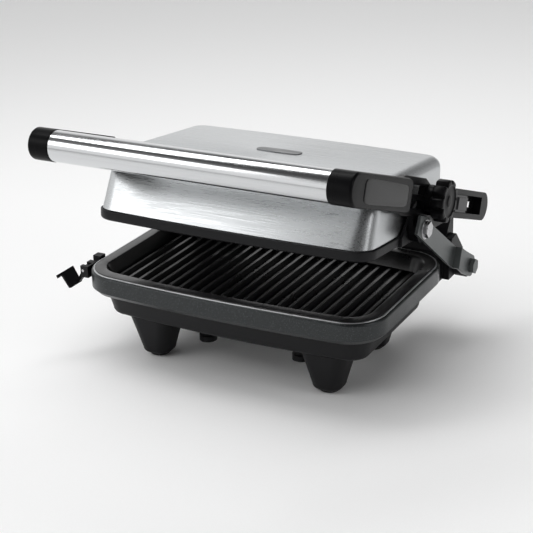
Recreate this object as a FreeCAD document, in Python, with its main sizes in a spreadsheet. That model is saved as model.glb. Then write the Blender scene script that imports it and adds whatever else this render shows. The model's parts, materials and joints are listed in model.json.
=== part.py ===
import FreeCAD, Part
import math
import operator
import os
import Sketcher

# Panini press with a floating lid, millimetres, +Z up, +X to the user's right, -Y to the user.
# The stored pose has the lid part open.  Three local frames are used:
#   base frame  origin on the table under the middle of the base
#   arm frame   origin on the rear hinge axis, -Y along the side arms
#   lid frame   origin on the lid's pivot axis, Z square to the lid's rim

V = FreeCAD.Vector
os.makedirs("parts", exist_ok=True)
doc = FreeCAD.newDocument("PaniniPress")
sheet = doc.addObject("Spreadsheet::Sheet", "Dims")

# ---------------------------------------------------------------- driving dimensions
CELLS = [
    # where the model's origin lies, from the middle of the base
    ("origin_x", -4.5), ("origin_y", 16.683),
    # base
    ("rim_half", 160), ("rim_depth_half", 95), ("rim_bulge", 7), ("rim_corner", 38),
    ("rim_top", 93), ("band_bottom", 71), ("pan_floor", 45), ("pan_inset", 14),
    ("pan_draft", 5), ("pan_wall", 2.5), ("pan_edge", 6), ("band_wall", 12),
    ("band_edge", 3), ("seat_inset", 3.5), ("seat_depth", 2), ("fit_gap", 0.3),
    # lower grill plate and ribs
    ("flange_thick", 2.8), ("well_inset", 15), ("well_draft", 6), ("well_floor", 78.5),
    ("plate_thick", 3.5), ("rib_pitch", 12), ("rib_base", 6.4), ("rib_crest", 3.2),
    ("rib_height", 4.5), ("rib_half_length", 64), ("rib_count", 23),
    # feet
    ("foot_x", 96), ("foot_y", 52), ("foot_top_half", 25), ("foot_top_depth", 22),
    ("foot_end_half", 15.5), ("foot_end_depth", 14.5), ("foot_edge", 5), ("pad_thick", 3),
    ("pad_radius", 9.5), ("post_x", 53), ("post_y", -27), ("post_radius", 6.5),
    ("post_cap_radius", 9), ("post_cap_bottom", 12), ("post_cap_thick", 6),
    # heaters and wiring
    ("heater_radius", 4), ("heater_bend", 34), ("heater_left", -82), ("heater_right", 112),
    ("tray_floor", 57), ("tray_height", 6), ("tray_wall", 1.2),
    ("tray_half", 134), ("tray_depth_half", 66), ("vent_count", 7), ("vent_pitch", 14),
    ("thermostat_x", 20), ("fuse_x", -30), ("terminal_x", 62), ("terminal_y", 42), ("terminal_pitch", 10),
    ("screw_head", 5), ("stud_x", 65), ("spacer_x", 104), ("spacer_y", 20),
    ("inlet_x", 62), ("inlet_z", 58), ("inlet_start", 70), ("inlet_radius", 7),
    ("inlet_bore", 4), ("inlet_flange", 10), ("inlet_flange_y", 87.5), ("inlet_end", 94),
    # rear hinge
    ("hinge_y", 128), ("hinge_z", 73), ("bolt_radius", 4), ("bolt_play", 0.05),
    ("housing_inner", 98), ("housing_step", 150), ("housing_outer", 157),
    ("column_rear", 129), ("column_top", 125), ("saddle_front", 84), ("saddle_low", 65),
    ("boss_radius", 12), ("boss_outer", 167.6), ("bolt_head", 8), ("bolt_head_thick", 4.5),
    # side arms, in the arm frame
    ("arm_slope", 20.5), ("arm_height", 62.5), ("arm_inner", 151), ("arm_outer", 167),
    ("arm_outer_left", 160), ("hub_half_left", 11),
    ("grip_y", -310), ("barrel_radius", 15.3), ("beam_end_y", -188), ("beam_half", 15.3),
    ("cage_outer", 157), ("cage_rear_y", -122), ("cage_half", 18.5), ("knob_y", -117),
    ("tail_inner", 153), ("tail_outer", 165), ("tail_half", 14.6), ("tail_end_y", 27),
    ("slot_front_y", -64), ("slot_rear_y", 20), ("slot_half", 9), ("slot_floor", 3),
    ("slit_half", 3), ("knob_boss", 13), ("stud_radius", 3), ("tail_drop", 1.2),
    ("window_gap", 2.5), ("window_reach", 11), ("grip_edge", 2.5),
    ("lid_pivot_y", -131), ("lid_pivot_z", 33.7), ("lug_radius", 13), ("lug_outer", 160.8),
    # steel strips
    ("strip_inner", 161), ("strip_thick", 3), ("jog", 7), ("jog_y", -34), ("tab_radius", 11),
    # handle tube
    ("tube_radius", 14.8), ("tube_wall", 1.5), ("tube_right", 145.5), ("tube_left", 138.5),
    ("spigot_length", 20), ("spigot_play", 0.1),
    # knob and slot block
    ("knob_inner", 166), ("knob_thick", 13), ("knob_radius", 20.5), ("scallop_radius", 5),
    ("scallop_count", 9), ("stud_reach", 8), ("block_length", 32), ("block_play", 0.35),
    # lid, in the lid frame
    ("lid_tilt", 6.5), ("lid_half", 146), ("lid_mid_y", 2), ("lid_depth_half", 95),
    ("lid_bulge", 5), ("lid_corner", 20), ("lid_low", -4.6), ("lid_top", 52),
    ("lid_side_inset", 2.5), ("lid_front_inset", 23), ("lid_rear_inset", 1.5), ("lid_round", 11),
    ("lid_wall", 0.8), ("trim_height", 10), ("trim_proud", 2), ("trim_wall", 13),
    ("press_inset", 17), ("press_low", -19), ("press_top", -11), ("press_rib_count", 19),
    ("wool_half", 118), ("wool_depth_half", 70), ("wool_low", 6), ("wool_top", 16),
    ("bracket_outer", 150.7),
    ("cheek_front", -24), ("cheek_rear", 86), ("cheek_low", -14), ("cheek_high", 22),
    ("badge_y", 14), ("badge_half", 24), ("badge_depth", 6), ("badge_thick", 0.8),
    # storage latch on the left of the base
    ("latch_x", -166.5), ("latch_z", 87), ("latch_y", -70), ("pin_radius", 1.5),
    ("latch_width", 6), ("latch_rear", -46), ("ear_low", 7), ("ear_high", 5),
]


class Size:
    """A number that remembers the sheet formula it was worked out from."""

    def __init__(self, value, formula):
        self.value = value
        self.formula = formula

    def __add__(self, other):
        return joined(self, "+", other)

    def __radd__(self, other):
        return joined(other, "+", self)

    def __sub__(self, other):
        return joined(self, "-", other)

    def __rsub__(self, other):
        return joined(other, "-", self)

    def __mul__(self, other):
        return joined(self, "*", other)

    def __rmul__(self, other):
        return joined(other, "*", self)

    def __truediv__(self, other):
        return joined(self, "/", other)

    def __neg__(self):
        return joined(0, "-", self)


SIGNS = {"+": operator.add, "-": operator.sub, "*": operator.mul, "/": operator.truediv}


def as_size(number):
    """A plain number or a Size, as a Size."""
    return number if isinstance(number, Size) else Size(float(number), "(%r)" % float(number))


def joined(first, sign, second):
    """Two sizes put together by a sign, in value and in formula."""
    first, second = as_size(first), as_size(second)
    formula = "(%s %s %s)" % (first.formula, sign, second.formula)
    return Size(SIGNS[sign](first.value, second.value), formula)


def cosine(angle):
    return Size(math.cos(math.radians(angle.value)), "cos(%s)" % angle.formula)


def sine(angle):
    return Size(math.sin(math.radians(angle.value)), "sin(%s)" % angle.formula)


class Sheet:
    """Every cell of the sheet as a Size, by its alias."""

    def __init__(self, cells):
        for row, (alias, value) in enumerate(cells, start=1):
            sheet.set("A%d" % row, alias)
            sheet.set("B%d" % row, str(value))
            sheet.setAlias("B%d" % row, alias)
            setattr(self, alias, Size(float(value), "Dims." + alias))


D = Sheet(CELLS)
doc.recompute()


def bind(thing, name, size):
    """Tie a property of a document object to the sheet."""
    thing.setExpression(name, as_size(size).formula)


# ---------------------------------------------------------------- sketches
def plane_of(body, role):
    return [face for face in body.Origin.OriginFeatures if face.Role == role][0]


def new_body(label):
    body = doc.addObject("PartDesign::Body", label)
    body.Label = label
    return body


def new_sketch(body, role, height=0):
    """An empty sketch parallel to one of the body's own origin planes."""
    sketch = body.newObject("Sketcher::SketchObject", body.Label + "_sketch")
    sketch.AttachmentSupport = [(plane_of(body, role), "")]
    sketch.MapMode = "FlatFace"
    bind(sketch, "AttachmentOffset.Base.z", height)
    return sketch


def limit(sketch, kind, *geometry_and_size):
    """A dimension of the sketch, driven by the last argument."""
    size = as_size(geometry_and_size[-1])
    constraint = Sketcher.Constraint(kind, *geometry_and_size[:-1], size.value)
    index = sketch.addConstraint(constraint)
    sketch.setExpression("Constraints[%d]" % index, size.formula)


def pin_point(sketch, geometry, point, x, y):
    limit(sketch, "DistanceX", -1, 1, geometry, point, x)
    limit(sketch, "DistanceY", -1, 1, geometry, point, y)


def polygon(sketch, corners):
    """A closed outline with straight sides; every corner is dimensioned from the origin."""
    points = [V(as_size(x).value, as_size(y).value, 0) for x, y in corners]
    count = len(points)
    lines = [sketch.addGeometry(Part.LineSegment(points[i], points[(i + 1) % count]))
             for i in range(count)]
    for i, line in enumerate(lines):
        sketch.addConstraint(Sketcher.Constraint("Coincident", line, 2, lines[(i + 1) % count], 1))
    for line, (x, y) in zip(lines, corners):
        pin_point(sketch, line, 1, x, y)
    return sketch


def rectangle(sketch, x_low, x_high, y_low, y_high):
    return polygon(sketch, [(x_low, y_low), (x_high, y_low), (x_high, y_high), (x_low, y_high)])


def circle(sketch, x, y, radius):
    middle = V(as_size(x).value, as_size(y).value, 0)
    ring = sketch.addGeometry(Part.Circle(middle, V(0, 0, 1), as_size(radius).value))
    pin_point(sketch, ring, 3, x, y)
    limit(sketch, "Radius", ring, radius)
    return sketch


def pillow(sketch, half_width, half_depth, bulge, corner, middle_y=0):
    """A rounded rectangle about (0, middle_y) whose long sides bow outwards by bulge."""
    half_width, half_depth, bulge = as_size(half_width), as_size(half_depth), as_size(bulge)
    corner, middle_y = as_size(corner), as_size(middle_y)
    bow = (half_width * half_width + bulge * bulge) / (bulge * 2)
    reach = half_depth + bulge - bow
    across = half_width.value - corner.value
    down = math.sqrt((bow.value - corner.value) ** 2 - across ** 2)
    turn = math.atan2(down, across)
    along = reach.value + down
    mid = middle_y.value

    def arc(x, y, radius, start, end):
        ring = Part.Circle(V(x, y, 0), V(0, 0, 1), radius)
        return sketch.addGeometry(Part.ArcOfCircle(ring, start, end))

    def side(x, y_from, y_to):
        return sketch.addGeometry(Part.LineSegment(V(x, y_from, 0), V(x, y_to, 0)))

    width, radius = half_width.value, corner.value
    right = side(width, mid - along, mid + along)
    back_right = arc(across, mid + along, radius, 0, turn)
    back = arc(0, mid + reach.value, bow.value, turn, math.pi - turn)
    back_left = arc(-across, mid + along, radius, math.pi - turn, math.pi)
    left = side(-width, mid + along, mid - along)
    front_left = arc(-across, mid - along, radius, math.pi, math.pi + turn)
    front = arc(0, mid - reach.value, bow.value, math.pi + turn, 2 * math.pi - turn)
    front_right = arc(across, mid - along, radius, -turn, 0)
    loop = [right, back_right, back, back_left, left, front_left, front, front_right]
    for i, piece in enumerate(loop):
        follower = loop[(i + 1) % len(loop)]
        sketch.addConstraint(Sketcher.Constraint("Tangent", piece, 2, follower, 1))
    limit(sketch, "DistanceX", -1, 1, right, 1, half_width)
    limit(sketch, "DistanceX", left, 1, -1, 1, half_width)
    for piece in (back_right, back_left, front_left, front_right):
        limit(sketch, "Radius", piece, corner)
    for piece, middle in ((back, middle_y + reach), (front, middle_y - reach)):
        sketch.addConstraint(Sketcher.Constraint("PointOnObject", piece, 3, -2))
        limit(sketch, "Radius", piece, bow)
        limit(sketch, "DistanceY", -1, 1, piece, 3, middle)
    return sketch


# ---------------------------------------------------------------- features
def settled(feature):
    """Recompute, and refuse a feature that failed."""
    doc.recompute()
    if "Invalid" in feature.State or feature.Shape.isNull() or not feature.Shape.isValid():
        raise ValueError("%s failed in %s" % (feature.Name, feature.getParentGeoFeatureGroup().Label))
    return feature


def pad(body, sketch, length, reverse=False, symmetric=False):
    feature = body.newObject("PartDesign::Pad", body.Label + "_pad")
    feature.Profile = sketch
    feature.Reversed = reverse
    feature.SideType = "Symmetric" if symmetric else "One side"
    bind(feature, "Length", length)
    return settled(feature)


def pocket(body, sketch, length, reverse=False):
    """A pocket that must take material away, so a cut in the wrong direction is refused."""
    before = body.Shape.Volume
    feature = body.newObject("PartDesign::Pocket", body.Label + "_pocket")
    feature.Profile = sketch
    feature.Reversed = reverse
    bind(feature, "Length", length)
    settled(feature)
    if body.Shape.Volume > before - 1:
        raise ValueError("pocket removes nothing in " + body.Label)
    return feature


def loft(body, sketches, kind="Additive"):
    feature = body.newObject("PartDesign::%sLoft" % kind, body.Label + "_loft")
    feature.Profile = sketches[0]
    feature.Sections = sketches[1:]
    feature.Ruled = True
    return settled(feature)


def rounding(radius, steps=5):
    """Height and setback pairs of a quarter round, from its tip back to the straight wall."""
    turns = [math.pi / 2 * step / steps for step in range(steps)]
    return [(radius * (1 - math.cos(turn)), radius * (1 - math.sin(turn))) for turn in turns]


def repeat(body, feature, role, pitch, count):
    """A row of copies of one feature along an axis of the body."""
    pattern = body.newObject("PartDesign::LinearPattern", body.Label + "_row")
    pattern.Originals = [feature]
    pattern.Direction = (plane_of(body, role), [""])
    pattern.Mode = "Spacing"
    bind(pattern, "Offset", pitch)
    pattern.Occurrences = int(count.value)
    body.Tip = pattern
    return settled(pattern)


def round_edges(body, radius, wanted, kind="Fillet"):
    """Round or bevel the edges that the test picks from the body as it is so far."""
    names = ["Edge%d" % (i + 1) for i, edge in enumerate(body.Shape.Edges) if wanted(edge)]
    base = body.Tip
    feature = body.newObject("PartDesign::" + kind, body.Label + "_edge")
    feature.Base = (base, names)
    bind(feature, "Radius" if kind == "Fillet" else "Size", radius)
    return settled(feature)


def at_height(height, slack=0.05):
    """A test for edges that lie flat at a height."""
    level = as_size(height).value
    return lambda edge: (abs(edge.BoundBox.ZMin - level) < slack
                         and abs(edge.BoundBox.ZMax - level) < slack)


def add_cylinder(body, radius, length, at, axis="X", kind="Additive"):
    feature = body.newObject("PartDesign::%sCylinder" % kind, body.Label + "_round")
    place_primitive(feature, at, axis)
    bind(feature, "Radius", radius)
    bind(feature, "Height", length)
    return settled(feature)


# ---------------------------------------------------------------- primitives
AXIS_TURNS = {"X": (V(0, 1, 0), 90), "Y": (V(1, 0, 0), -90), "Z": (V(0, 0, 1), 0)}


def place_primitive(feature, at, axis):
    feature.Placement = FreeCAD.Placement(V(0, 0, 0), FreeCAD.Rotation(*AXIS_TURNS[axis]))
    for letter, size in zip("xyz", at):
        bind(feature, "Placement.Base." + letter, size)


def cylinder(at, radius, length, axis="X"):
    feature = doc.addObject("Part::Cylinder", "round")
    place_primitive(feature, at, axis)
    bind(feature, "Radius", radius)
    bind(feature, "Height", length)
    return feature


def hexagon(at, radius, length, axis="X"):
    feature = doc.addObject("Part::Prism", "hexagon")
    place_primitive(feature, at, axis)
    feature.Polygon = 6
    bind(feature, "Circumradius", radius)
    bind(feature, "Height", length)
    return feature


def block(low, high):
    feature = doc.addObject("Part::Box", "block")
    place_primitive(feature, low, "Z")
    for name, start, end in zip(("Length", "Width", "Height"), low, high):
        bind(feature, name, as_size(end) - start)
    return feature


def fused(members, label="fused"):
    feature = doc.addObject("Part::MultiFuse", label)
    feature.Shapes = members
    return feature


def cut(base, tool, label="cut"):
    feature = doc.addObject("Part::Cut", label)
    feature.Base = base
    feature.Tool = tool
    return feature


def group(members, label):
    """Several separate solids that make one sub-part."""
    feature = doc.addObject("Part::Compound", label)
    feature.Links = members
    return feature


# ---------------------------------------------------------------- where sub-parts stand
SUBPARTS = []

ARM_COS, ARM_SIN = cosine(D.arm_slope), sine(D.arm_slope)
PIVOT_Y = D.hinge_y + D.lid_pivot_y * ARM_COS + D.lid_pivot_z * ARM_SIN
PIVOT_Z = D.hinge_z - D.lid_pivot_y * ARM_SIN + D.lid_pivot_z * ARM_COS
FRAMES = {
    "base": (as_size(0), as_size(0), as_size(0)),
    "arm": (D.hinge_y, D.hinge_z, D.arm_slope),
    "lid": (PIVOT_Y, PIVOT_Z, D.lid_tilt),
}


def seat(feature, frame):
    """Register a sub-part and stand it in its frame, tipped front end up."""
    origin_y, origin_z, slope = FRAMES[frame]
    feature.Placement = FreeCAD.Placement(V(0, 0, 0), FreeCAD.Rotation(V(1, 0, 0), 1))
    bind(feature, "Placement.Base.x", -D.origin_x)
    bind(feature, "Placement.Base.y", origin_y - D.origin_y)
    bind(feature, "Placement.Base.z", origin_z)
    bind(feature, "Placement.Rotation.Angle", -slope)
    SUBPARTS.append(feature)
    return feature


def seat_group(members, label, frame):
    return seat(group(members, label), frame)


# ---------------------------------------------------------------- base
def rim_outline(body, height, inset, corner_cut=None):
    """The base's outline, drawn in by inset."""
    corner = D.rim_corner - (inset if corner_cut is None else corner_cut)
    return pillow(new_sketch(body, "XY_Plane", height), D.rim_half - inset,
                  D.rim_depth_half - inset, D.rim_bulge, corner)


def make_base_rim():
    body = new_body("base_rim")
    pad(body, rim_outline(body, D.band_bottom, as_size(0)), D.rim_top - D.band_bottom)
    round_edges(body, D.band_edge, at_height(D.rim_top))
    round_edges(body, D.band_edge + 2, at_height(D.band_bottom), "Chamfer")
    pocket(body, rim_outline(body, D.rim_top, D.band_wall), D.rim_top - D.band_bottom)
    pocket(body, rim_outline(body, D.rim_top, D.seat_inset), D.seat_depth)
    seat(body, "base")


def make_base_pan():
    body = new_body("base_pan")
    drawn_in = D.pan_inset + D.pan_draft
    rounded = [rim_outline(body, D.pan_floor + up, drawn_in + back)
               for up, back in rounding(D.pan_edge)]
    loft(body, rounded + [rim_outline(body, D.pan_floor + D.pan_edge, drawn_in),
                          rim_outline(body, D.band_bottom, D.pan_inset)])
    loft(body, [rim_outline(body, D.pan_floor + D.pan_wall, D.pan_inset + D.pan_draft + D.pan_wall),
                rim_outline(body, D.band_bottom, D.pan_inset + D.pan_wall)], "Subtractive")
    vent = new_sketch(body, "XY_Plane", D.pan_floor)
    first = D.vent_pitch * (-(D.vent_count.value - 1) / 2)
    rectangle(vent, first - 2, first + 2, -14, 14)
    slots = pocket(body, vent, D.pan_wall * 2, reverse=True)
    repeat(body, slots, "X_Axis", D.vent_pitch, D.vent_count)
    add_cylinder(body, D.inlet_radius + 0.2, D.inlet_end - D.inlet_start,
                 (D.inlet_x, D.inlet_start, D.inlet_z), "Y", "Subtractive")
    seat(body, "base")


def make_legs():
    for left_right, x_sign in (("left", -1), ("right", 1)):
        for front_rear, y_sign in (("front", -1), ("rear", 1)):
            body = new_body("leg_%s_%s" % (front_rear, left_right))
            top = pillow(new_sketch(body, "XY_Plane", D.pan_floor),
                         D.foot_top_half, D.foot_top_depth, as_size(1), as_size(14))
            rounded = [pillow(new_sketch(body, "XY_Plane", D.pad_thick + up),
                              D.foot_end_half - back, D.foot_end_depth - back, as_size(1),
                              12 - back)
                       for up, back in rounding(D.foot_edge)]
            end = pillow(new_sketch(body, "XY_Plane", D.pad_thick + D.foot_edge),
                         D.foot_end_half, D.foot_end_depth, as_size(1), as_size(12))
            loft(body, rounded + [end, top])
            seat(body, "base")
            bind(body, "Placement.Base.x", D.foot_x * x_sign - D.origin_x)
            bind(body, "Placement.Base.y", D.foot_y * y_sign - D.origin_y)


def make_foot_pads():
    pads = [cylinder((D.foot_x * sx, D.foot_y * sy, 0), D.pad_radius, D.pad_thick, "Z")
            for sx in (-1, 1) for sy in (-1, 1)]
    seat_group(pads, "foot_pads", "base")


def make_cord_wrap_posts():
    posts = []
    for side in (-1, 1):
        foot = (D.post_x * side, D.post_y, D.post_cap_bottom)
        stem_foot = (D.post_x * side, D.post_y, D.post_cap_bottom + 1)
        stem = cylinder(stem_foot, D.post_radius, D.pan_floor - D.post_cap_bottom - 1, "Z")
        cap = cylinder(foot, D.post_cap_radius, D.post_cap_thick, "Z")
        posts.append(fused([stem, cap]))
    seat_group(posts, "cord_wrap_posts", "base")


def add_ribs(body, root, height, count, middle_y=0):
    """Ribs that run front to back, as one rib and its row of copies; height is signed."""
    first = D.rib_pitch * (-(count.value - 1) / 2)
    profile = new_sketch(body, "XZ_Plane", -D.rib_half_length - middle_y)
    crest = root + height
    polygon(profile, [(first - D.rib_base / 2, root), (first + D.rib_base / 2, root),
                      (first + D.rib_crest / 2, crest), (first - D.rib_crest / 2, crest)])
    rib = pad(body, profile, D.rib_half_length * 2)
    repeat(body, rib, "X_Axis", D.rib_pitch, count)


def make_lower_grill_plate():
    body = new_body("lower_grill_plate")
    underside = D.well_floor - D.plate_thick
    seat_level = D.rim_top - D.seat_depth
    loft(body, [rim_outline(body, underside, D.well_inset + D.well_draft - D.plate_thick,
                            D.well_inset),
                rim_outline(body, seat_level, D.band_wall + D.fit_gap)])
    pad(body, rim_outline(body, seat_level, D.seat_inset + D.fit_gap), D.flange_thick)
    loft(body, [rim_outline(body, D.well_floor, D.well_inset + D.well_draft),
                rim_outline(body, seat_level + D.flange_thick, D.well_inset)], "Subtractive")
    round_edges(body, as_size(1), at_height(seat_level + D.flange_thick))
    add_ribs(body, D.well_floor, D.rib_height, D.rib_count)
    seat(body, "base")


def make_heater(label, level, frame, middle_y=0):
    """A U-shaped tubular element, open to the right."""
    body = new_body(label)
    middle_y = as_size(middle_y)
    path = new_sketch(body, "XY_Plane", level)
    left, right, bend, mid = (D.heater_left.value, D.heater_right.value, D.heater_bend.value,
                              middle_y.value)
    back = path.addGeometry(Part.LineSegment(V(right, mid + bend, 0), V(left, mid + bend, 0)))
    turn = path.addGeometry(Part.ArcOfCircle(Part.Circle(V(left, mid, 0), V(0, 0, 1), bend),
                                             math.pi / 2, 3 * math.pi / 2))
    front = path.addGeometry(Part.LineSegment(V(left, mid - bend, 0), V(right, mid - bend, 0)))
    path.addConstraint(Sketcher.Constraint("Tangent", back, 2, turn, 1))
    path.addConstraint(Sketcher.Constraint("Tangent", turn, 2, front, 1))
    pin_point(path, back, 1, D.heater_right, middle_y + D.heater_bend)
    pin_point(path, turn, 3, D.heater_left, middle_y)
    limit(path, "DistanceX", -1, 1, front, 2, D.heater_right)
    section = new_sketch(body, "YZ_Plane", D.heater_right)
    circle(section, middle_y + D.heater_bend, level, D.heater_radius)
    pipe = body.newObject("PartDesign::AdditivePipe", label + "_pipe")
    pipe.Profile = section
    pipe.Spine = (path, ["Edge1", "Edge2", "Edge3"])
    doc.recompute()
    seat(body, frame)


def make_tray(label, floor, wall_to, frame, half_width, half_depth, middle_y=0):
    """A thin sheet-metal tray that throws the heat back at the plate."""
    body = new_body(label)
    up = as_size(wall_to).value > as_size(floor).value
    height = (as_size(wall_to) - floor) if up else (as_size(floor) - wall_to)
    outer = pillow(new_sketch(body, "XY_Plane", floor), half_width, half_depth, as_size(3),
                   as_size(16), middle_y)
    pad(body, outer, height, reverse=not up)
    inner = pillow(new_sketch(body, "XY_Plane", wall_to), half_width - D.tray_wall,
                   half_depth - D.tray_wall, as_size(3), as_size(14.8), middle_y)
    pocket(body, inner, height - D.tray_wall, reverse=not up)
    seat(body, frame)


def make_electrics():
    under = D.well_floor - D.plate_thick
    disc = cylinder((D.thermostat_x, 0, under - 2), 11, 2, "Z")
    switch = cylinder((D.thermostat_x, 0, under - 9), 8, 7, "Z")
    seat_group([fused([switch, disc])], "thermostat", "base")
    capsule = cylinder((D.fuse_x, -8, under - 6), 3, 26, "Y")
    clip = block((D.fuse_x - 5, 0, under - 3), (D.fuse_x + 5, 10, under))
    seat_group([fused([capsule, clip])], "thermal_fuse", "base")
    strip = block((D.terminal_x - 18, D.terminal_y - 8, D.pan_floor + D.pan_wall + 0.5),
                  (D.terminal_x + 18, D.terminal_y + 8, D.tray_floor - 0.5))
    holes = [cylinder((D.terminal_x + D.terminal_pitch * step, D.terminal_y, D.pan_floor + 5), 2, 10, "Z")
             for step in (-1, 0, 1)]
    seat_group([cut(strip, fused(holes))], "terminal_block", "base")


def make_cord_inlet():
    """The gland that the mains lead would enter by."""
    sleeve = cylinder((D.inlet_x, D.inlet_start, D.inlet_z), D.inlet_radius,
                      D.inlet_end - D.inlet_start, "Y")
    flange = cylinder((D.inlet_x, D.inlet_flange_y, D.inlet_z), D.inlet_flange,
                      D.inlet_end - D.inlet_flange_y, "Y")
    bore = cylinder((D.inlet_x, D.inlet_start - 1, D.inlet_z), D.inlet_bore,
                    D.inlet_end - D.inlet_start + 2, "Y")
    seat_group([cut(fused([sleeve, flange]), bore)], "cord_inlet", "base")


def make_screws():
    inside = D.pan_floor + D.pan_wall
    heads = [cylinder((D.foot_x * sx, D.foot_y * sy, inside), D.screw_head, 3, "Z")
             for sx in (-1, 1) for sy in (-1, 1)]
    seat_group(heads, "leg_screws", "base")
    tray_top = D.tray_floor + D.tray_wall
    studs = [cylinder((x, 0, tray_top), 2.5, D.well_floor - D.plate_thick - tray_top, "Z")
             for x in (-D.stud_x, D.stud_x)]
    seat_group(studs, "plate_studs", "base")
    spacers = [cylinder((D.spacer_x * sx, D.spacer_y * sy, inside), 4, D.tray_floor - inside, "Z")
               for sx in (-1, 1) for sy in (-1, 1)]
    seat_group(spacers, "tray_spacers", "base")


# ---------------------------------------------------------------- rear hinge
def side_sketch(body, side, distance):
    """A sketch square to X, on the left (-1) or the right (+1) of the press."""
    return new_sketch(body, "YZ_Plane", as_size(distance) * side)


def side_pad(body, side, corners, start, end):
    sketch = polygon(side_sketch(body, side, start), corners)
    return pad(body, sketch, as_size(end) - start, reverse=side < 0)


def side_hole(body, side, at, radius, start, end):
    """A round hole along X, cut outwards from start."""
    sketch = circle(side_sketch(body, side, start), at[0], at[1], radius)
    return pocket(body, sketch, as_size(end) - start, reverse=side > 0)


def side_round(body, side, at, radius, start, end, kind="Additive"):
    """A round boss along X, between two distances from the middle plane."""
    low = as_size(start) if side > 0 else as_size(end) * -1
    return add_cylinder(body, radius, as_size(end) - start, (low, at[0], at[1]), "X", kind)


def make_hinge_housing(label, side):
    """A column that hugs the base's rear corner; its front slopes clear of the opening lid."""
    body = new_body(label)
    y, z = D.hinge_y, D.hinge_z
    saddle_top = D.rim_top - 1
    side_pad(body, side, [(D.saddle_front, D.saddle_low), (D.saddle_front, saddle_top),
                          (y - 25, saddle_top), (y - 21, z + 30), (y - 16, z + 39), (y - 11, z + 46),
                          (y - 5, D.column_top), (D.column_rear, D.column_top),
                          (D.column_rear, z + 13), (y + 12, z + 6), (y + 12, z - 6),
                          (y + 5, D.saddle_low)], D.housing_inner, D.housing_step)
    side_pad(body, side, [(y - 27, D.saddle_low), (y - 27, z + 22), (y - 20, z + 34),
                          (y - 8, z + 36), (y + 12, z + 14), (y + 12, z - 6), (y + 5, D.saddle_low)],
             D.housing_step, D.housing_outer)
    pocket(body, rim_outline(body, D.column_top + 1, as_size(0)), D.column_top)
    side_round(body, side, (y, z), D.boss_radius, D.housing_outer - 1, D.boss_outer)
    side_hole(body, side, (y, z), D.bolt_radius, D.housing_step - 8, D.boss_outer)
    seat(body, "base")


def make_hex_bolt(label, side, frame, at, shank_from, head_from):
    """A plain shank with a hexagon head on its outer end."""
    shank_low = as_size(shank_from) if side > 0 else as_size(head_from) * -1
    head_low = as_size(head_from) if side > 0 else (as_size(head_from) + D.bolt_head_thick) * -1
    shank = cylinder((shank_low, at[0], at[1]), D.bolt_radius, as_size(head_from) - shank_from)
    head = hexagon((head_low, at[0], at[1]), D.bolt_head, D.bolt_head_thick)
    seat_group([fused([shank, head])], label, frame)


# ---------------------------------------------------------------- side arms
def make_strip(label, side):
    body = new_body(label)
    outer = D.strip_inner + D.strip_thick
    tab_in = D.strip_inner + D.jog
    side_pad(body, side, [(-150, 28), (-147, 46), (-120, 45), (-113, 38), (D.jog_y, 17.5),
                          (D.jog_y, -4), (-56, 1.5), (-122, 20)], D.strip_inner, outer)
    side_pad(body, side, [(D.jog_y - D.strip_thick, 18.2), (D.jog_y, 17.5), (D.jog_y, -4),
                          (D.jog_y - D.strip_thick, -3.2)], outer, tab_in + D.strip_thick)
    side_pad(body, side, [(D.jog_y - 1, 17.6), (-20, 14.5), (2, 10.8), (-2, -10.8), (-20, -8.5),
                          (D.jog_y - 1, -3.9)], tab_in, tab_in + D.strip_thick)
    side_round(body, side, (0, 0), D.tab_radius, tab_in, tab_in + D.strip_thick)
    side_hole(body, side, (0, 0), D.bolt_radius + D.bolt_play, tab_in, tab_in + D.strip_thick)
    side_hole(body, side, (D.lid_pivot_y, D.lid_pivot_z), D.bolt_radius, D.strip_inner, outer)
    seat(body, "arm")


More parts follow.
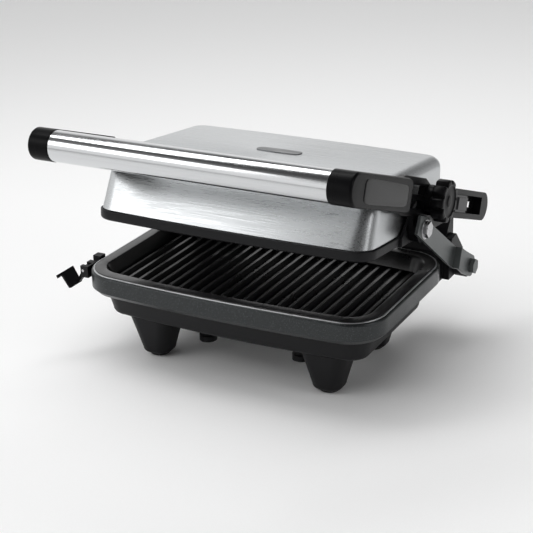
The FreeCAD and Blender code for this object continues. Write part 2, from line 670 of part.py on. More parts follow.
def make_arm_moulding(label, side):
    """An arm's black moulding: grip end, beam, hub and tail; only the right one takes the knob."""
    body = new_body(label)
    mid, half = D.arm_height, D.beam_half
    outer = D.arm_outer if side > 0 else D.arm_outer_left
    cage = D.cage_half if side > 0 else D.hub_half_left
    side_pad(body, side, [(D.grip_y, mid + D.barrel_radius), (-196, mid + half + 1),
                          (D.beam_end_y, mid + half - 3), (D.beam_end_y, mid - half + 3),
                          (-196, mid - half), (D.grip_y, mid - D.barrel_radius)],
             D.arm_inner, outer)
    side_round(body, side, (D.grip_y, mid), D.barrel_radius, D.arm_inner, outer)
    round_edges(body, D.grip_edge, lambda edge: abs(abs(edge.BoundBox.XMin) - outer.value) < 0.05
                and abs(abs(edge.BoundBox.XMax) - outer.value) < 0.05
                and edge.BoundBox.YMax < D.beam_end_y.value - 5)
    side_pad(body, side, [(D.beam_end_y - 8, mid - cage + 4), (D.beam_end_y + 6, mid - cage),
                          (D.cage_rear_y - 8, mid - cage), (D.cage_rear_y + 8, mid - cage + 6),
                          (D.cage_rear_y + 8, mid + cage - 6), (D.cage_rear_y - 8, mid + cage),
                          (D.beam_end_y + 6, mid + cage), (D.beam_end_y - 8, mid + cage - 4)],
             D.arm_inner, D.cage_outer)
    tail = mid - D.tail_drop
    tail_half = D.tail_half if side > 0 else D.hub_half_left
    side_pad(body, side, [(D.knob_y, tail - tail_half), (D.tail_end_y, tail - tail_half),
                          (D.tail_end_y, tail + tail_half), (D.knob_y, tail + tail_half)],
             D.tail_inner, D.tail_outer)
    side_round(body, side, (D.tail_end_y, tail), tail_half, D.tail_inner, D.tail_outer)
    if side > 0:
        add_knob_seat(body, tail)
    pivot = (D.lid_pivot_y, D.lid_pivot_z)
    side_pad(body, side, [(-152, mid - cage + 1), (D.lid_pivot_y - D.lug_radius, pivot[1]),
                          (D.lid_pivot_y + D.lug_radius, pivot[1]), (-119, mid - cage + 4)],
             D.arm_inner, D.cage_outer)
    side_round(body, side, pivot, D.lug_radius, D.arm_inner, D.lug_outer)
    side_hole(body, side, pivot, D.bolt_radius, D.arm_inner, D.lug_outer)
    seat(body, "arm")


def add_knob_seat(body, tail):
    """The right hub's boss and windows, and the blind slot with its narrow slit in the tail."""
    mid = D.arm_height
    side_round(body, 1, (D.knob_y, mid), D.knob_boss, D.arm_inner, D.knob_inner - 0.4)
    for low, high in ((D.window_gap, D.window_reach), (-D.window_reach, -D.window_gap)):
        window = rectangle(side_sketch(body, 1, D.arm_inner), D.beam_end_y + 6,
                           D.cage_rear_y - 8, mid + low, mid + high)
        pocket(body, window, D.cage_outer - D.arm_inner, reverse=True)
    floor = D.tail_inner + D.slot_floor
    slot = rectangle(side_sketch(body, 1, floor), D.slot_front_y, D.slot_rear_y,
                     tail - D.slot_half, tail + D.slot_half)
    pocket(body, slot, D.tail_outer - floor, reverse=True)
    slit = rectangle(side_sketch(body, 1, D.tail_inner), D.slot_front_y + 4, D.slot_rear_y - 4,
                     tail - D.slit_half, tail + D.slit_half)
    pocket(body, slit, D.slot_floor, reverse=True)
    side_hole(body, 1, (D.knob_y, mid), D.stud_radius, D.arm_inner, D.knob_inner)


def make_handle():
    at = (-D.tube_left, D.grip_y, D.arm_height)
    length = D.tube_left + D.tube_right
    tube = cylinder(at, D.tube_radius, length)
    bore = cylinder(at, D.tube_radius - D.tube_wall, length)
    seat_group([cut(tube, bore)], "handle_tube", "arm")
    for label, side, end in (("handle_cap_left", -1, D.tube_left), ("handle_cap_right", 1, D.tube_right)):
        body = new_body(label)
        grip = (D.grip_y, D.arm_height)
        side_round(body, side, grip, D.tube_radius - D.tube_wall - D.spigot_play,
                   end - D.spigot_length, end + 1)
        side_round(body, side, grip, D.barrel_radius, end, D.arm_inner)
        seat(body, "arm")


def make_height_knob():
    """The scalloped knob: a drum with its finger hollows cut round its own axis."""
    body = new_body("height_knob")
    mid = D.arm_height
    side_round(body, 1, (D.knob_y, mid), D.knob_radius, D.knob_inner, D.knob_inner + D.knob_thick)
    outer = D.knob_inner.value + D.knob_thick.value
    round_edges(body, as_size(2.5), lambda edge: abs(edge.BoundBox.XMin - outer) < 0.05)
    count = int(D.scallop_count.value)
    for step in range(count):
        angle = 2 * math.pi * step / count
        reach = D.knob_radius + 1.5
        add_cylinder(body, D.scallop_radius, D.knob_thick + 2,
                     (D.knob_inner - 1, D.knob_y + reach * math.sin(angle),
                      mid + reach * math.cos(angle)), "X", "Subtractive")
    side_hole(body, 1, (D.knob_y, mid), D.stud_radius + D.bolt_play, D.knob_inner,
              D.knob_inner + D.stud_reach)
    seat(body, "arm")


def make_slot_block():
    """A block in the tail's slot, held by a plate behind the slit."""
    mid = D.arm_height - D.tail_drop
    front = D.slot_front_y + 8
    rear = front + D.block_length
    half = D.slot_half - D.block_play
    stem_half = D.slit_half - D.block_play
    floor = D.tail_inner + D.slot_floor
    core = block((floor, front, mid - half), (D.tail_outer - 1, rear, mid + half))
    face = block((D.tail_outer - 1, front + 3, mid - half + 2.5),
                 (D.tail_outer + 1, rear - 3, mid + half - 2.5))
    stem = block((D.tail_inner, front + 4, mid - stem_half), (floor, rear - 4, mid + stem_half))
    plate = block((D.tail_inner - 1.5, front + 2, mid - half + 2), (D.tail_inner, rear - 2, mid + half - 2))
    seat_group([fused([core, face, stem, plate])], "slot_block", "arm")


# ---------------------------------------------------------------- lid
def lid_outline(body, height, inset=0, grow=0):
    """The lid's rim outline, drawn in by inset or out by grow."""
    change = as_size(inset) - grow
    return pillow(new_sketch(body, "XY_Plane", height), D.lid_half - change,
                  D.lid_depth_half - change, D.lid_bulge, D.lid_corner - change * 0.8, D.lid_mid_y)


def lid_level(body, share, height, inset):
    """The cover's outline between its rim (share 0) and its flat top (share 1)."""
    set_back = (D.lid_front_inset - D.lid_rear_inset) / 2 * share
    shorter = (D.lid_front_inset + D.lid_rear_inset) / 2 * share
    return pillow(new_sketch(body, "XY_Plane", height),
                  D.lid_half - D.lid_side_inset * share - inset,
                  D.lid_depth_half - shorter - inset, D.lid_bulge,
                  D.lid_corner - inset * 0.8 - share * 4, D.lid_mid_y + set_back)


def lid_stack(body, wall):
    """The outlines of the cover's dome, from the rim to the rounded crown."""
    top = D.lid_top - wall
    radius = D.lid_round - wall
    spring = (D.lid_top - D.lid_round - D.lid_low) / (D.lid_top - D.lid_low)
    stack = [lid_level(body, as_size(0), D.lid_low, wall),
             lid_level(body, spring, D.lid_top - D.lid_round, wall)]
    for up, back in reversed(rounding(radius)):
        share = spring + (1 - spring) * (1 - up / radius)
        stack.append(lid_level(body, share, top - up, wall + back))
    return stack


def make_lid_cover():
    body = new_body("lid_cover")
    loft(body, lid_stack(body, as_size(0)))
    loft(body, lid_stack(body, D.lid_wall), "Subtractive")
    seat(body, "lid")


def make_lid_trim():
    body = new_body("lid_trim")
    low = D.lid_low - D.trim_height
    pad(body, lid_outline(body, low, grow=D.trim_proud), D.trim_height)
    round_edges(body, as_size(3), at_height(low))
    round_edges(body, as_size(1), at_height(D.lid_low))
    pocket(body, lid_outline(body, D.lid_low, D.trim_wall), D.trim_height)
    seat(body, "lid")


def make_upper_grill_plate():
    body = new_body("upper_grill_plate")
    loft(body, [lid_outline(body, D.press_low, D.press_inset + 2),
                lid_outline(body, D.press_top, D.press_inset)])
    add_ribs(body, D.press_low, -D.rib_height, D.press_rib_count, D.lid_mid_y)
    seat(body, "lid")


def make_lid_insulation():
    slab = block((-D.wool_half, -D.wool_depth_half, D.wool_low),
                 (D.wool_half, D.wool_depth_half, D.wool_top))
    seat_group([slab], "lid_insulation", "lid")


def make_pivot_bracket(label, side):
    """The black cheek on the lid's side that the pivot bolt carries."""
    body = new_body(label)
    inner = D.lid_half + D.trim_proud
    side_pad(body, side, [(D.cheek_front, D.cheek_low), (D.cheek_rear, D.cheek_low),
                          (D.cheek_rear, D.cheek_high - 12), (D.cheek_rear - 40, D.cheek_high),
                          (12, D.cheek_high), (-6, 14), (D.cheek_front, -6)],
             inner, D.bracket_outer)
    side_hole(body, side, (0, 0), D.bolt_radius + D.bolt_play, inner, D.bracket_outer)
    seat(body, "lid")


def make_badge():
    body = new_body("lid_badge")
    outline = pillow(new_sketch(body, "XY_Plane", D.lid_top), D.badge_half, D.badge_depth, as_size(2),
                     D.badge_depth - 1, D.badge_y)
    pad(body, outline, D.badge_thick)
    seat(body, "lid")


# ---------------------------------------------------------------- storage latch
def make_latch():
    x, z, y = D.latch_x, D.latch_z, D.latch_y
    body = new_body("latch_clip")
    knuckle = D.latch_width
    add_cylinder(body, 3.6, knuckle, (x, y - knuckle / 2, z), "Y")
    link = polygon(new_sketch(body, "XZ_Plane", -y - knuckle / 2),
                   [(x - 2.6, z), (x + 1, z - 2.6), (x - 10, z - 16.5), (x - 12, z - 14.5)])
    pad(body, link, knuckle)
    bend = polygon(new_sketch(body, "XZ_Plane", -y - knuckle / 2),
                   [(x - 12.5, z - 14), (x - 9.5, z - 17), (x - 12, z - 17.5), (x - 20, z - 6),
                    (x - 18, z - 4.6)])
    pad(body, bend, as_size(20))
    lip = polygon(new_sketch(body, "XZ_Plane", -y - knuckle / 2),
                  [(x - 18, z - 4.6), (x - 20, z - 6), (x - 21.5, z - 3), (x - 19.5, z - 1.8)])
    pad(body, lip, as_size(27))
    add_cylinder(body, D.pin_radius + D.bolt_play, 10, (x, y - 5, z), "Y", "Subtractive")
    seat(body, "base")
    wall = D.rim_half + 0.1
    clear = knuckle / 2 + 0.4
    near, far = y - knuckle - 2, y + knuckle + 4
    ears = [block((x - 2.5, start, z - D.ear_low), (-wall, end, z + D.ear_high))
            for start, end in ((near, y - clear), (y + clear, far))]
    strap = block((x + 4.6, near, z - D.ear_low), (-wall, D.latch_rear, z + D.ear_high))
    stop = block((x - 2.5, D.latch_rear - 9, z - D.ear_low + 2),
                 (-wall, D.latch_rear, z + D.ear_high + 3))
    hole = cylinder((x, near - 2, z), D.pin_radius, 30, "Y")
    seat_group([cut(fused(ears + [strap, stop]), hole)], "latch_bracket", "base")
    seat_group([cylinder((x, near, z), D.pin_radius, far - near, "Y")], "latch_pin", "base")


# ---------------------------------------------------------------- build
make_base_rim()
make_base_pan()
make_legs()
make_foot_pads()
make_cord_wrap_posts()
make_lower_grill_plate()
make_heater("lower_heating_element", D.well_floor - D.plate_thick - D.heater_radius, "base")
make_tray("lower_reflector", D.tray_floor, D.tray_floor + D.tray_height, "base", D.tray_half,
          D.tray_depth_half)
make_electrics()
make_cord_inlet()
make_screws()
for suffix, side in (("left", -1), ("right", 1)):
    make_hinge_housing("hinge_housing_" + suffix, side)
    tab_outer = D.strip_inner + D.jog + D.strip_thick
    make_hex_bolt("hinge_bolt_" + suffix, side, "base", (D.hinge_y, D.hinge_z),
                  D.housing_step - 8, tab_outer + D.fit_gap)
    make_strip("arm_strip_" + suffix, side)
    make_arm_moulding("arm_moulding_" + suffix, side)
    make_hex_bolt("lid_pivot_bolt_" + suffix, side, "arm", (D.lid_pivot_y, D.lid_pivot_z),
                  D.lid_half + D.trim_proud + 0.2, D.strip_inner + D.strip_thick)
    make_pivot_bracket("pivot_bracket_" + suffix, side)
make_handle()
make_height_knob()
seat_group([cylinder((D.arm_inner, D.knob_y, D.arm_height), D.stud_radius,
                     D.knob_inner + D.stud_reach - 1 - D.arm_inner)],
           "knob_stud", "arm")
make_slot_block()
make_lid_cover()
make_lid_trim()
make_upper_grill_plate()
make_heater("upper_heating_element", D.press_top + D.heater_radius, "lid", D.lid_mid_y)
make_tray("upper_reflector", 4, -2, "lid", D.wool_half, D.tray_depth_half,
          D.lid_mid_y)
make_lid_insulation()
make_badge()
make_latch()
doc.recompute()

# ---------------------------------------------------------------- checks and export
for item in doc.Objects:
    if "Invalid" in item.State or "Error" in item.State:
        raise ValueError("%s is %s" % (item.Label, item.State))
for item in SUBPARTS:
    if item.Shape.isNull() or not item.Shape.isValid():
        raise ValueError("bad shape: " + item.Label)

whole = FreeCAD.BoundBox()
for item in SUBPARTS:
    whole.add(item.Shape.BoundBox)
    item.Shape.exportStep("parts/%s.step" % item.Label)
    print("%-24s solids %d  volume %.0f" % (item.Label, len(item.Shape.Solids), item.Shape.Volume))
print("box", whole)
print("middle of box", whole.Center.x, whole.Center.y, "bottom", whole.ZMin)
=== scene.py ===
import json
import math

import bmesh
import bpy
from mathutils import Matrix, Vector


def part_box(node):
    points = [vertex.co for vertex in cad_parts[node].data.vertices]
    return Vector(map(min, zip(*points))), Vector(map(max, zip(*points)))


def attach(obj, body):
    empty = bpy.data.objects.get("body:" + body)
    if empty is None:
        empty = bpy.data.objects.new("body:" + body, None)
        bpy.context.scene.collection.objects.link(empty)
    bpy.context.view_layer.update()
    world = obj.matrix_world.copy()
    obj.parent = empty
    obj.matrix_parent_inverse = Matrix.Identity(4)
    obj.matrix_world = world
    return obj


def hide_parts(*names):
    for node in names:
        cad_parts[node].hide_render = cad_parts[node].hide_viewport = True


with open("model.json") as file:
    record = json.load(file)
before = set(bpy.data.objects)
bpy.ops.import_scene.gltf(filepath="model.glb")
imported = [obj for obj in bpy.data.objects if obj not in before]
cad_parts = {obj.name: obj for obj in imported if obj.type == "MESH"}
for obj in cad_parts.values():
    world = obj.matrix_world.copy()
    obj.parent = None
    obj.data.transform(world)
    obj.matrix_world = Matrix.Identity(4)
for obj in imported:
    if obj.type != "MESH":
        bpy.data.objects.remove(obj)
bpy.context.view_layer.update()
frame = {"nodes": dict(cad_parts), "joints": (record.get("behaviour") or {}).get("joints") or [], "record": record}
NODES = frame["nodes"]
MM = 0.001

ARM_SLOPE = math.radians(20.5)  # how far the arms lean back at rest
LID_TILT = math.radians(6.5)


def joint(name):
    """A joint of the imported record, by name."""
    return [item for item in frame["joints"] if item["name"] == name][0]


ARM_AXIS = Vector(joint("arm_lift")["pos_m"])
LID_AXIS = Vector(joint("lid_tilt")["pos_m"])
RIM_FROM, RIM_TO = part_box("base_rim")
MIDDLE_X = (RIM_FROM.x + RIM_TO.x) / 2
MIDDLE_Y = (RIM_FROM.y + RIM_TO.y) / 2


def tilted(origin, slope):
    """From a part's own level frame, whose middle is MIDDLE_X, to where it stands at rest."""
    place = Vector((MIDDLE_X, origin.y, origin.z))
    return Matrix.Translation(place) @ Matrix.Rotation(-slope, 4, "X")


BASE = Matrix.Translation(Vector((MIDDLE_X, MIDDLE_Y, 0)))
ARM = tilted(ARM_AXIS, ARM_SLOPE)
LID = tilted(LID_AXIS, LID_TILT)

# Places on the arms, in the arms' own level frame.
ARM_HEIGHT = 62.5 * MM
GRIP_Y, KNOB_Y = -310 * MM, -117 * MM
KNOB_START = 166 * MM
LID_PIVOT = (-131 * MM, 33.7 * MM)


# ---------------------------------------------------------------- camera, light and floor
def make_camera():
    """A long lens to the right of the press, looking down over the handle."""
    azimuth, elevation, roll = math.radians(28.6), math.radians(22.42), math.radians(-1.56)
    aim = Vector((0.0414, -0.0806, 0.1212))
    distance = 1.30
    back = Vector((math.sin(azimuth) * math.cos(elevation),
                   -math.cos(azimuth) * math.cos(elevation),
                   math.sin(elevation)))
    data = bpy.data.cameras.new("camera")
    data.lens, data.sensor_width = 93.3, 36
    camera = bpy.data.objects.new("camera", data)
    bpy.context.scene.collection.objects.link(camera)
    camera.rotation_mode = "QUATERNION"
    turn = (-back).to_track_quat("-Z", "Y").to_matrix() @ Matrix.Rotation(roll, 3, "Z")
    camera.rotation_quaternion = turn.to_quaternion()
    camera.location = aim + back * distance
    bpy.context.scene.camera = camera


def soft_box(name, place, target, width, height, power):
    """A rectangular lamp that faces a target."""
    data = bpy.data.lights.new(name, "AREA")
    data.shape, data.size, data.size_y, data.energy = "RECTANGLE", width, height, power
    lamp = bpy.data.objects.new(name, data)
    bpy.context.scene.collection.objects.link(lamp)
    lamp.location = place
    lamp.rotation_mode = "QUATERNION"
    lamp.rotation_quaternion = (Vector(target) - Vector(place)).to_track_quat("-Z", "Y")


def make_studio_walls():
    """A tent of light: bright low down, dark overhead, and dimmer towards the right."""
    right_dimming, horizon = 0.55, 0.27
    stops = ((0.0, 0.95), (0.36, 1.0), (0.46, 0.85), (0.58, 0.30), (0.74, 0.08), (1.0, 0.06))
    world = bpy.data.worlds.new("studio")
    bpy.context.scene.world = world
    world.use_nodes = True
    tree = world.node_tree
    coords = add(tree, "ShaderNodeTexCoord")
    parts = add(tree, "ShaderNodeSeparateXYZ")
    tree.links.new(coords.outputs["Generated"], parts.inputs["Vector"])
    sideways = add(tree, "ShaderNodeMath", operation="MULTIPLY")
    sideways.inputs[1].default_value = right_dimming
    tree.links.new(parts.outputs["X"], sideways.inputs[0])
    lift = add(tree, "ShaderNodeMath", operation="ADD")
    tree.links.new(sideways.outputs[0], lift.inputs[0])
    tree.links.new(parts.outputs["Z"], lift.inputs[1])
    shift = add(tree, "ShaderNodeMath", operation="ADD", use_clamp=True)
    shift.inputs[1].default_value = horizon
    tree.links.new(lift.outputs[0], shift.inputs[0])
    wall = add(tree, "ShaderNodeValToRGB")
    while len(wall.color_ramp.elements) < len(stops):
        wall.color_ramp.elements.new(0.5)
    for element, (place, grey) in zip(wall.color_ramp.elements, stops):
        element.position = place
        element.color = (grey, grey, grey, 1)
    tree.links.new(shift.outputs[0], wall.inputs["Fac"])
    tree.links.new(wall.outputs["Color"], tree.nodes["Background"].inputs["Color"])
    tree.nodes["Background"].inputs["Strength"].default_value = 1.0


def make_light():
    """Three soft boxes, a ceiling glow that leaves no highlight, and the walls of light."""
    middle = (0, 0, 0.12)
    soft_box("overhead", (-0.35, 0.28, 1.35), middle, width=1.7, height=0.34, power=9)
    soft_box("key", (-0.95, -1.15, 0.95), middle, width=0.7, height=0.5, power=2.6)
    soft_box("right_fill", (1.2, -0.1, 0.7), middle, width=0.5, height=0.6, power=2.5)
    ceiling = bpy.data.objects.new("ceiling", bpy.data.lights.new("ceiling", "SUN"))
    ceiling.data.energy, ceiling.data.angle = 1.25, math.radians(80)
    ceiling.rotation_euler = (math.radians(12), math.radians(-14), 0)
    ceiling.visible_glossy = False
    bpy.context.scene.collection.objects.link(ceiling)
    make_studio_walls()
    bpy.context.scene.view_settings.view_transform = "Standard"


def make_floor():
    reach = 12
    corners = [(-reach, -reach, 0), (reach, -reach, 0), (reach, reach, 0), (-reach, reach, 0)]
    mesh = bpy.data.meshes.new("floor")
    mesh.from_pydata(corners, [], [(0, 1, 2, 3)])
    floor = bpy.data.objects.new("floor", mesh)
    bpy.context.scene.collection.objects.link(floor)
    make_floor_material()
    floor.data.materials.append(MATERIALS["floor_card"])


# ---------------------------------------------------------------- materials
MATERIALS = {}


def node_tree(name):
    """The nodes and the main shader of a new material, which is kept in MATERIALS."""
    material = bpy.data.materials.new(name)
    material.use_nodes = True
    MATERIALS[name] = material
    return material.node_tree, material.node_tree.nodes["Principled BSDF"]


def add(tree, kind, **values):
    """A shader node with its properties and inputs set."""
    node = tree.nodes.new(kind)
    for key, value in values.items():
        if key in node.inputs:
            node.inputs[key].default_value = value
        else:
            setattr(node, key, value)
    return node


def noise(tree, scale, detail, stretch=(1, 1, 1)):
    """Noise in the object's own coordinates, scaled separately along each axis."""
    coords = add(tree, "ShaderNodeTexCoord")
    mapping = add(tree, "ShaderNodeMapping")
    mapping.inputs["Scale"].default_value = stretch
    texture = add(tree, "ShaderNodeTexNoise", Scale=scale, Detail=detail, Roughness=0.6)
    tree.links.new(coords.outputs["Object"], mapping.inputs["Vector"])
    tree.links.new(mapping.outputs["Vector"], texture.inputs["Vector"])
    return texture


def ramp(tree, source, low, high, start=0.3, end=0.7):
    """Map a texture to a range of grey values or colours."""
    node = add(tree, "ShaderNodeValToRGB")
    node.color_ramp.elements[0].position = start
    node.color_ramp.elements[1].position = end
    for element, value in zip(node.color_ramp.elements, (low, high)):
        element.color = (*value, 1) if isinstance(value, tuple) else (value, value, value, 1)
    tree.links.new(source, node.inputs["Fac"])
    return node


def bumped(tree, shader, source, strength, distance, edge):
    """Surface grain over softly rounded edges."""
    bump = add(tree, "ShaderNodeBump", Strength=strength, Distance=distance)
    tree.links.new(source, bump.inputs["Height"])
    bevel = add(tree, "ShaderNodeBevel", Radius=edge)
    bevel.samples = 4
    tree.links.new(bevel.outputs["Normal"], bump.inputs["Normal"])
    tree.links.new(bump.outputs["Normal"], shader.inputs["Normal"])


def shades(colour, spread):
    """A darker and a lighter version of a colour."""
    return (tuple(c * (1 - spread) for c in colour),
            tuple(min(1, c * (1 + spread)) for c in colour))


def plain_material(name, colour, roughness, scale, grain, metallic=0.0, coat=0.0, edge=0.6 * MM,
                   specular=0.32):
    """A moulded, cast or coated surface: slight colour change, uneven gloss and fine grain."""
    tree, shader = node_tree(name)
    shader.inputs["Metallic"].default_value = metallic
    shader.inputs["Coat Weight"].default_value = coat
    shader.inputs["Specular IOR Level"].default_value = specular
    broad = noise(tree, 18, 4)
    tint = ramp(tree, broad.outputs["Fac"], *shades(colour, 0.12))
    tree.links.new(tint.outputs["Color"], shader.inputs["Base Color"])
    gloss = ramp(tree, broad.outputs["Fac"], roughness * 0.88, min(1, roughness * 1.12))
    tree.links.new(gloss.outputs["Color"], shader.inputs["Roughness"])
    fine = noise(tree, scale, 5)
    bumped(tree, shader, fine.outputs["Fac"], grain, 0.4 * MM, edge)


def brushed_material(name, colour, roughness, stretch, streak=0.10, grain=0.10, anisotropy=0.5):
    """Metal with fine scratches drawn along the axis that stretch leaves long."""
    tree, shader = node_tree(name)
    shader.inputs["Metallic"].default_value = 1.0
    shader.inputs["Anisotropic"].default_value = anisotropy
    lines = noise(tree, 1.0, 4, stretch)
    tint = ramp(tree, lines.outputs["Fac"], *shades(colour, streak), 0.35, 0.65)
    tree.links.new(tint.outputs["Color"], shader.inputs["Base Color"])
    gloss = ramp(tree, lines.outputs["Fac"], roughness * 0.8, roughness * 1.25, 0.35, 0.65)
    tree.links.new(gloss.outputs["Color"], shader.inputs["Roughness"])
    bumped(tree, shader, lines.outputs["Fac"], grain, 0.1 * MM, 0.5 * MM)


def speckled_material(name, colour, fleck, roughness):
    """Cast metal under satin lacquer, with light flecks."""
    tree, shader = node_tree(name)
    shader.inputs["Metallic"].default_value = 0.6
    shader.inputs["Coat Weight"].default_value = 0.15
    shader.inputs["Coat Roughness"].default_value = 0.35
    fine = noise(tree, 950, 2)
    tint = ramp(tree, fine.outputs["Fac"], colour, fleck, 0.56, 0.78)
    tree.links.new(tint.outputs["Color"], shader.inputs["Base Color"])
    broad = noise(tree, 30, 3)
    gloss = ramp(tree, broad.outputs["Fac"], roughness * 0.85, roughness * 1.15)
    tree.links.new(gloss.outputs["Color"], shader.inputs["Roughness"])
    bumped(tree, shader, fine.outputs["Fac"], 0.25, 0.2 * MM, 1.2 * MM)


def make_floor_material():
    """Matt pale card, all but even in tone."""
    tree, shader = node_tree("floor_card")
    shader.inputs["Specular IOR Level"].default_value = 0.1
    fine = noise(tree, 600, 2)
    tint = ramp(tree, fine.outputs["Fac"], 0.93, 0.95)
    tree.links.new(tint.outputs["Color"], shader.inputs["Base Color"])
    gloss = ramp(tree, fine.outputs["Fac"], 0.75, 0.85)
    tree.links.new(gloss.outputs["Color"], shader.inputs["Roughness"])


def make_materials():
    """Every finish: the record's material slots first, then those of single pieces."""
    speckled_material("rim_metal", (0.026, 0.029, 0.030), (0.085, 0.09, 0.095), 0.36)
    plain_material("black_plastic", (0.006, 0.006, 0.007), 0.46, 1400, 0.22, specular=0.22)
    plain_material("arm_plastic", (0.004, 0.004, 0.0045), 0.30, 900, 0.05, specular=0.07)
    plain_material("pad_rubber", (0.014, 0.014, 0.014), 0.8, 900, 0.3)
    plain_material("nonstick", (0.010, 0.010, 0.0105), 0.30, 1700, 0.12, metallic=0.1,
                   coat=0.15, edge=1.2 * MM, specular=0.75)
    brushed_material("heater_steel", (0.22, 0.2, 0.18), 0.45, (20, 60, 60))
    brushed_material("sheet_aluminium", (0.62, 0.62, 0.62), 0.35, (8, 400, 400))
    plain_material("ceramic_white", (0.72, 0.7, 0.66), 0.35, 300, 0.05)
    plain_material("inlet_plastic", (0.012, 0.012, 0.012), 0.5, 900, 0.2)
    brushed_material("zinc_steel", (0.5, 0.5, 0.51), 0.28, (90, 90, 90))
    plain_material("strip_steel", (0.105, 0.113, 0.113), 0.36, 700, 0.12, metallic=0.55)
    brushed_material("brushed_steel", (0.62, 0.63, 0.64), 0.27, (7, 1300, 1300),
                     streak=0.05, grain=0.05)
    plain_material("block_plastic", (0.045, 0.045, 0.047), 0.4, 900, 0.1)
    plain_material("insulation", (0.7, 0.67, 0.58), 0.95, 260, 0.8)
    brushed_material("tube_steel", (0.66, 0.67, 0.68), 0.15, (3, 900, 900),
                     streak=0.04, grain=0.03)
    brushed_material("lid_steel", (0.56, 0.575, 0.585), 0.30, (14, 1300, 1300),
                     streak=0.03, grain=0.014)
    brushed_material("bead_metal", (0.60, 0.61, 0.62), 0.38, (60, 60, 60),
                     streak=0.05, grain=0.02, anisotropy=0.0)
    # A glossier copy of arm_plastic with twice its lightness: the gloss is the panel's own, and the extra
    # lightness is a painted highlight on the arms' side panels.
    plain_material("panel_plastic_painted_highlight", (0.008, 0.008, 0.0085), 0.24, 900, 0.03, specular=0.16)
    # The badge's steel is painted far darker than the lid's: painted shade standing in for the darker edges round
    # its embossed logo.
    brushed_material("badge_steel_painted_shade", (0.20, 0.205, 0.21), 0.35, (9, 900, 900),
                     streak=0.05, grain=0.03)


def smooth_group():
    """Geometry nodes that weld a node's faces and shade them smooth up to a fixed angle."""
    group = bpy.data.node_groups.new("smooth_faces", "GeometryNodeTree")
    group.interface.new_socket("Geometry", in_out="INPUT", socket_type="NodeSocketGeometry")
    group.interface.new_socket("Geometry", in_out="OUTPUT", socket_type="NodeSocketGeometry")
    start, end = group.nodes.new("NodeGroupInput"), group.nodes.new("NodeGroupOutput")
    weld = add(group, "GeometryNodeMergeByDistance", Distance=0.005 * MM)
    soft = add(group, "GeometryNodeSetShadeSmooth", domain="FACE")
    angle = group.nodes.new("GeometryNodeInputMeshEdgeAngle")
    steep = add(group, "FunctionNodeCompare", data_type="FLOAT", operation="GREATER_THAN")
    steep.inputs[1].default_value = math.radians(32)
    hard = add(group, "GeometryNodeSetShadeSmooth", domain="EDGE")
    hard.inputs["Shade Smooth"].default_value = False
    for source, target in ((start.outputs[0], weld.inputs[0]), (weld.outputs[0], soft.inputs[0]),
                           (soft.outputs[0], hard.inputs[0]), (hard.outputs[0], end.inputs[0]),
                           (angle.outputs["Unsigned Angle"], steep.inputs[0]),
                           (steep.outputs[0], hard.inputs["Selection"])):
        group.links.new(source, target)
    return group


def finish_nodes():
    """Give every carried-over node its material and smooth shading on its curved faces."""
    finishes = {item["node"]: item["material_slot"] for item in frame["record"]["subparts"]}
    # The lid badge takes the darker steel, which is painted shade for the edges of its embossed logo.
    finishes.update({"handle_tube": "tube_steel", "lid_badge": "badge_steel_painted_shade"})
    group = smooth_group()
    for name, node in NODES.items():
        node.data.materials.clear()
        node.data.materials.append(MATERIALS[finishes[name]])
        for face in node.data.polygons:
            face.material_index = 0
        node.modifiers.new("smooth", "NODES").node_group = group


# ---------------------------------------------------------------- shapes for the detail pieces
def outline(half_width, half_depth, bulge, corner, middle_y=0.0, steps=14):
    """A rounded rectangle whose long sides bow outwards, as points from the right side round."""
    bow = (half_width ** 2 + bulge ** 2) / (2 * bulge)
    reach = half_depth + bulge - bow
    across = half_width - corner
    down = math.sqrt((bow - corner) ** 2 - across ** 2)
    turn = math.atan2(down, across)
    points = []

    def arc(x, y, radius, start, end, count):
        for step in range(count + 1):
            angle = start + (end - start) * step / count
            points.append((x + radius * math.cos(angle), y + radius * math.sin(angle)))

    along = reach + down
    arc(across, middle_y + along, corner, 0, turn, steps)
    arc(0, middle_y + reach, bow, turn, math.pi - turn, steps * 3)
    arc(-across, middle_y + along, corner, math.pi - turn, math.pi, steps)
    arc(-across, middle_y - along, corner, math.pi, math.pi + turn, steps)
    arc(0, middle_y - reach, bow, math.pi + turn, 2 * math.pi - turn, steps * 3)
    arc(across, middle_y - along, corner, -turn, 0, steps)
    return points


def shell(rings, closed_top=True):
    """A skin through rings of equally many points, the last one closed by a flat face."""
    mesh = bmesh.new()
    rows = [[mesh.verts.new(point) for point in ring] for ring in rings]
    count = len(rows[0])
    for lower, upper in zip(rows, rows[1:]):
        for i in range(count):
            j = (i + 1) % count
            mesh.faces.new((lower[i], lower[j], upper[j], upper[i]))
    if closed_top:
        mesh.faces.new(rows[-1])
    bmesh.ops.remove_doubles(mesh, verts=mesh.verts, dist=1e-6)
    return mesh


def turns(steps):
    """Angles spaced evenly over a full turn."""
    return [2 * math.pi * step / steps for step in range(steps)]


def lathe(profile, steps):
    """A ring turned about X from a closed profile of (distance along X, radius) in mm."""
    rings = []
    for along, radius in profile + [profile[0]]:
        rings.append([(along * MM, radius * MM * math.cos(turn), radius * MM * math.sin(turn))
                      for turn in turns(steps)])
    return shell(rings, closed_top=False)


def piece(name, mesh, place, body, material):
    """Turn a finished bmesh into an object that rides on a body."""
    bmesh.ops.recalc_face_normals(mesh, faces=mesh.faces)
    data = bpy.data.meshes.new(name)
    mesh.to_mesh(data)
    mesh.free()
    data.transform(place)
    thing = bpy.data.objects.new(name, data)
    bpy.context.scene.collection.objects.link(thing)
    data.materials.append(MATERIALS[material])
    thing.modifiers.new("smooth", "NODES").node_group = bpy.data.node_groups["smooth_faces"]
    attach(thing, body)
    return thing


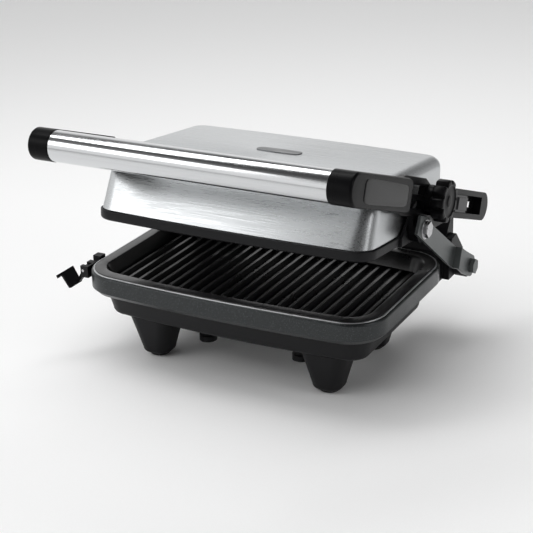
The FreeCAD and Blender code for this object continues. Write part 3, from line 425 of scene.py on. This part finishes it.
# ---------------------------------------------------------------- lid and rim, in mm
LID_HALF, LID_DEPTH, LID_BULGE, LID_CORNER, LID_MIDDLE = 146, 95, 5, 20, 2
LID_LOW, LID_TOP, LID_ROUND = -4.6, 52.0, 11.0
SIDE_INSET, FRONT_INSET, REAR_INSET = 2.5, 23, 1.5
RIM_HALF, RIM_DEPTH, RIM_BULGE, RIM_CORNER = 160, 95, 7, 38


def lid_ring(share, height, inset):
    """The cover's outline between its rim (share 0) and its flat top (share 1), in metres."""
    set_back = (FRONT_INSET - REAR_INSET) / 2 * share
    shorter = (FRONT_INSET + REAR_INSET) / 2 * share
    points = outline(LID_HALF - SIDE_INSET * share - inset, LID_DEPTH - shorter - inset, LID_BULGE,
                     LID_CORNER - inset * 0.8 - share * 4, LID_MIDDLE + set_back)
    return [(x * MM, y * MM, height * MM) for x, y in points]


def make_lid_shell():
    """The drawn steel cover: a folded hem, straight leaning walls and a rounded crown."""
    hem = ((0.2, 1.2), (0.1, 0.5), (0.6, 0.0))
    wall_steps, crown_steps = 6, 14
    wall_top = LID_TOP - LID_ROUND
    spring = (wall_top - LID_LOW) / (LID_TOP - LID_LOW)
    rings = [lid_ring(0, LID_LOW + rise, inset) for rise, inset in hem]
    for step in range(1, wall_steps + 1):
        rings.append(lid_ring(spring * step / wall_steps,
                              LID_LOW + (wall_top - LID_LOW) * step / wall_steps, 0.0))
    for step in range(1, crown_steps + 1):
        turn = math.pi / 2 * step / crown_steps
        rings.append(lid_ring(spring + (1 - spring) * math.sin(turn),
                              wall_top + LID_ROUND * math.sin(turn),
                              LID_ROUND * (1 - math.cos(turn))))
    cover = piece("lid_shell", shell(rings), LID, "lid", "lid_steel")
    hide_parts("lid_cover")


def make_rim_bead():
    """The polished edge of the base's rim, which catches the light all the way round."""
    section = [(3.1, 92.2), (2.2, 92.9), (2.4, 93.4), (3.0, 93.6), (3.7, 93.4), (3.75, 91.4)]
    rings = []
    for inset, height in section + [section[0]]:
        points = outline(RIM_HALF - inset, RIM_DEPTH - inset, RIM_BULGE, RIM_CORNER - inset,
                         steps=18)
        rings.append([(x * MM, y * MM, height * MM) for x, y in points])
    piece("rim_bead", shell(rings, closed_top=False), BASE, "base", "bead_metal")


# ---------------------------------------------------------------- arms and handle
def at_arm(x, y, z):
    """A place given in the arms' own level frame."""
    return ARM @ Matrix.Translation(Vector((x, y, z)))


def make_handle_rings():
    """The dark ferrules at both ends of the handle tube."""
    profile = [(0, 14.2), (0, 15.0), (0.3, 15.25), (1.9, 15.25), (2.2, 15.0), (2.2, 14.2)]
    for name, start in (("left", -139.4 * MM), ("right", 144.2 * MM)):
        piece("handle_ring_" + name, lathe(profile, 72), at_arm(start, GRIP_Y, ARM_HEIGHT), "arms",
              "arm_plastic")


def make_arm_panels():
    """The shallow raised panel on the outside of each arm, with its softly rounded edge, in a glossier plastic
    painted a little lighter than the arm: a painted highlight along the arm's side.
    """
    y_low, y_high = -298 * MM, -197 * MM
    half_front, half_rear = 11.5 * MM, 10.2 * MM
    squareness = 2 / 7
    for name, side, outer in (("left", -1, 160), ("right", 1, 167)):
        rings = []
        for proud, inset in ((0.0, 0.0), (0.35, 0.25), (0.6, 0.9), (0.7, 2.2)):
            ring = []
            for turn in turns(96):
                along, up = [math.copysign(abs(value) ** squareness, value)
                             for value in (math.cos(turn), math.sin(turn))]
                share = (along + 1) / 2
                half = half_front + (half_rear - half_front) * share - inset * MM
                reach = (y_high - y_low) / 2 - inset * MM
                ring.append((side * (outer + proud) * MM, (y_low + y_high) / 2 + reach * along,
                             ARM_HEIGHT + half * up))
            rings.append(ring)
        piece("arm_panel_" + name, shell(rings), ARM, "arms", "panel_plastic_painted_highlight")


def make_knob():
    """The scalloped grip, whose dished face lies inside a rounded edge and carries a low boss."""
    radius, depth, count, steps = 20.5 * MM, 3.4 * MM, 9, 180
    # Distance along the knob in mm, then a share of the radius (grip) or a radius in mm (face).
    grip = [(0.0, 0.93), (0.5, 0.975), (1.4, 1.0), (10.9, 1.0), (12.0, 0.985), (12.7, 0.955),
            (13.0, 0.91)]
    face = [(13.0, 15.7), (12.6, 15.2), (12.1, 14.4), (12.0, 13.2), (12.0, 6.4), (12.3, 5.6),
            (12.75, 4.9), (12.9, 3.6), (12.95, 0.4)]
    rings = []
    for along, share in grip:
        ring = []
        for turn in turns(steps):
            hollow = max(0.0, math.cos(count * turn)) ** 1.5
            reach = (radius - depth * hollow) * share
            ring.append((along * MM, reach * math.sin(turn), reach * math.cos(turn)))
        rings.append(ring)
    for along, reach in face:
        rings.append([(along * MM, reach * MM * math.sin(turn), reach * MM * math.cos(turn))
                      for turn in turns(steps)])
    knob = piece("knob_grip", shell(rings), at_arm(KNOB_START, KNOB_Y, ARM_HEIGHT), "knob",
                 "arm_plastic")
    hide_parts("height_knob")


def make_washers():
    """Plated washers under the heads of the lid's pivot bolts."""
    profile = [(0, 4.3), (0, 9.3), (0.35, 9.8), (0.7, 9.3), (0.7, 4.3)]
    for name, start in (("left", -164.7 * MM), ("right", 164.0 * MM)):
        piece("pivot_washer_" + name, lathe(profile, 48), at_arm(start, *LID_PIVOT), "arms",
              "zinc_steel")


make_camera()
make_light()
make_floor()
make_materials()
finish_nodes()
make_lid_shell()
make_rim_bead()
make_handle_rings()
make_arm_panels()
make_knob()
make_washers()
